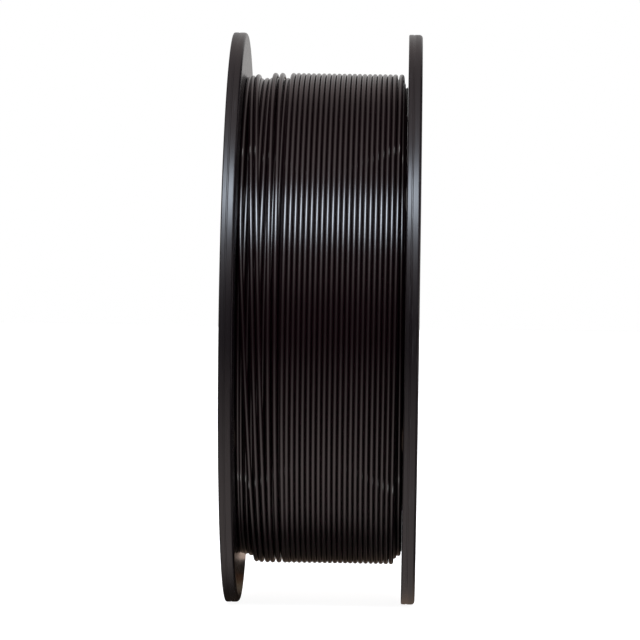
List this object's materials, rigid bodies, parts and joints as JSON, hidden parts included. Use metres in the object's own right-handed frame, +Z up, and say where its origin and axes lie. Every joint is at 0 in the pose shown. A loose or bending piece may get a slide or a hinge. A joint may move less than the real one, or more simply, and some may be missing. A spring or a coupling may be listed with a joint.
{
  "type": "filament spool",
  "caption": "Upright 3D-printer filament spool: two moulded flanges snapped onto a bored hub barrel, wound nearly full with 1.75 mm filament.",
  "frame": {"origin": "on the floor under the middle of the spool, which stands on its two rims", "axes": "+X along the spool's axis towards the right flange of the picture, +Y away from the picture's viewer, +Z up"},
  "size_m": [0.0662, 0.2, 0.2],
  "materials": {
    "spool_plastic": "moulded black plastic, glossy, with fine handling scratches",
    "hub_plastic": "moulded black plastic, satin",
    "filament": "extruded black filament, semi-gloss"
  },
  "bodies": {
    "root": {"left_flange": "spool_plastic", "right_flange": "spool_plastic", "hub_barrel": "hub_plastic", "filament_core": "filament", "filament_outer_turns": "filament"}
  },
  "joints": []
}
